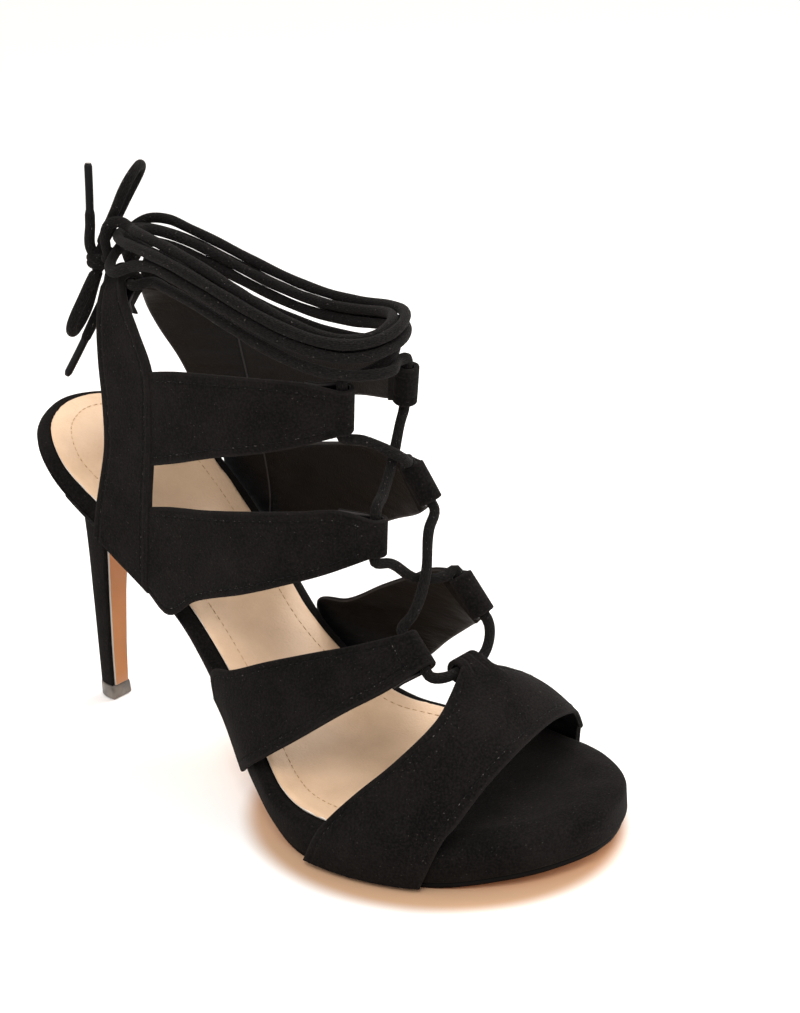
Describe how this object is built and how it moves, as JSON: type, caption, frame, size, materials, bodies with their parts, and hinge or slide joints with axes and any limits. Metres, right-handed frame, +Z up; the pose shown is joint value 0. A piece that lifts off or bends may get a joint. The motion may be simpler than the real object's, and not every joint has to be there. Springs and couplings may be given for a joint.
{
  "type": "lace-up sandal",
  "caption": "Open-toe, open-back suede sandal with a thin high heel, cross straps folded round a lace that crosses the instep, winds round the ankle and ties in a bow behind.",
  "frame": {"origin": "on the floor under the middle of the shoe's box, measured without the bow", "axes": "+Z up, -Y towards the toe, +X towards the inner (medial) side of the foot; heel tip and forefoot stand on z = 0"},
  "size_m": [0.094, 0.2132, 0.1906],
  "materials": {
    "black_suede": "black suede, matt",
    "tan_sock": "smooth tan leather, satin",
    "outsole": "thin tan sole, satin, with its edge painted black",
    "tan_breast": "glossy tan cover on the heel's front",
    "top_piece": "hard black tip, satin",
    "black_lace": "round black lace, fuzzy"
  },
  "bodies": {
    "root": {"platform": "black_suede", "insole": "tan_sock", "outsole": "outsole", "heel": "black_suede", "heel_breast": "tan_breast", "top_piece": "top_piece", "quarter_outer": "black_suede", "quarter_inner": "black_suede", "front_strap_outer": "black_suede", "front_strap_inner": "black_suede", "vamp": "black_suede", "front_lace": "black_lace", "ankle_lace_inner": "black_lace", "ankle_lace_outer": "black_lace", "lace_knot": "black_lace", "lace_loop_upper": "black_lace", "lace_loop_lower": "black_lace", "lace_end_upper": "black_lace", "lace_end_lower": "black_lace"}
  },
  "joints": []
}
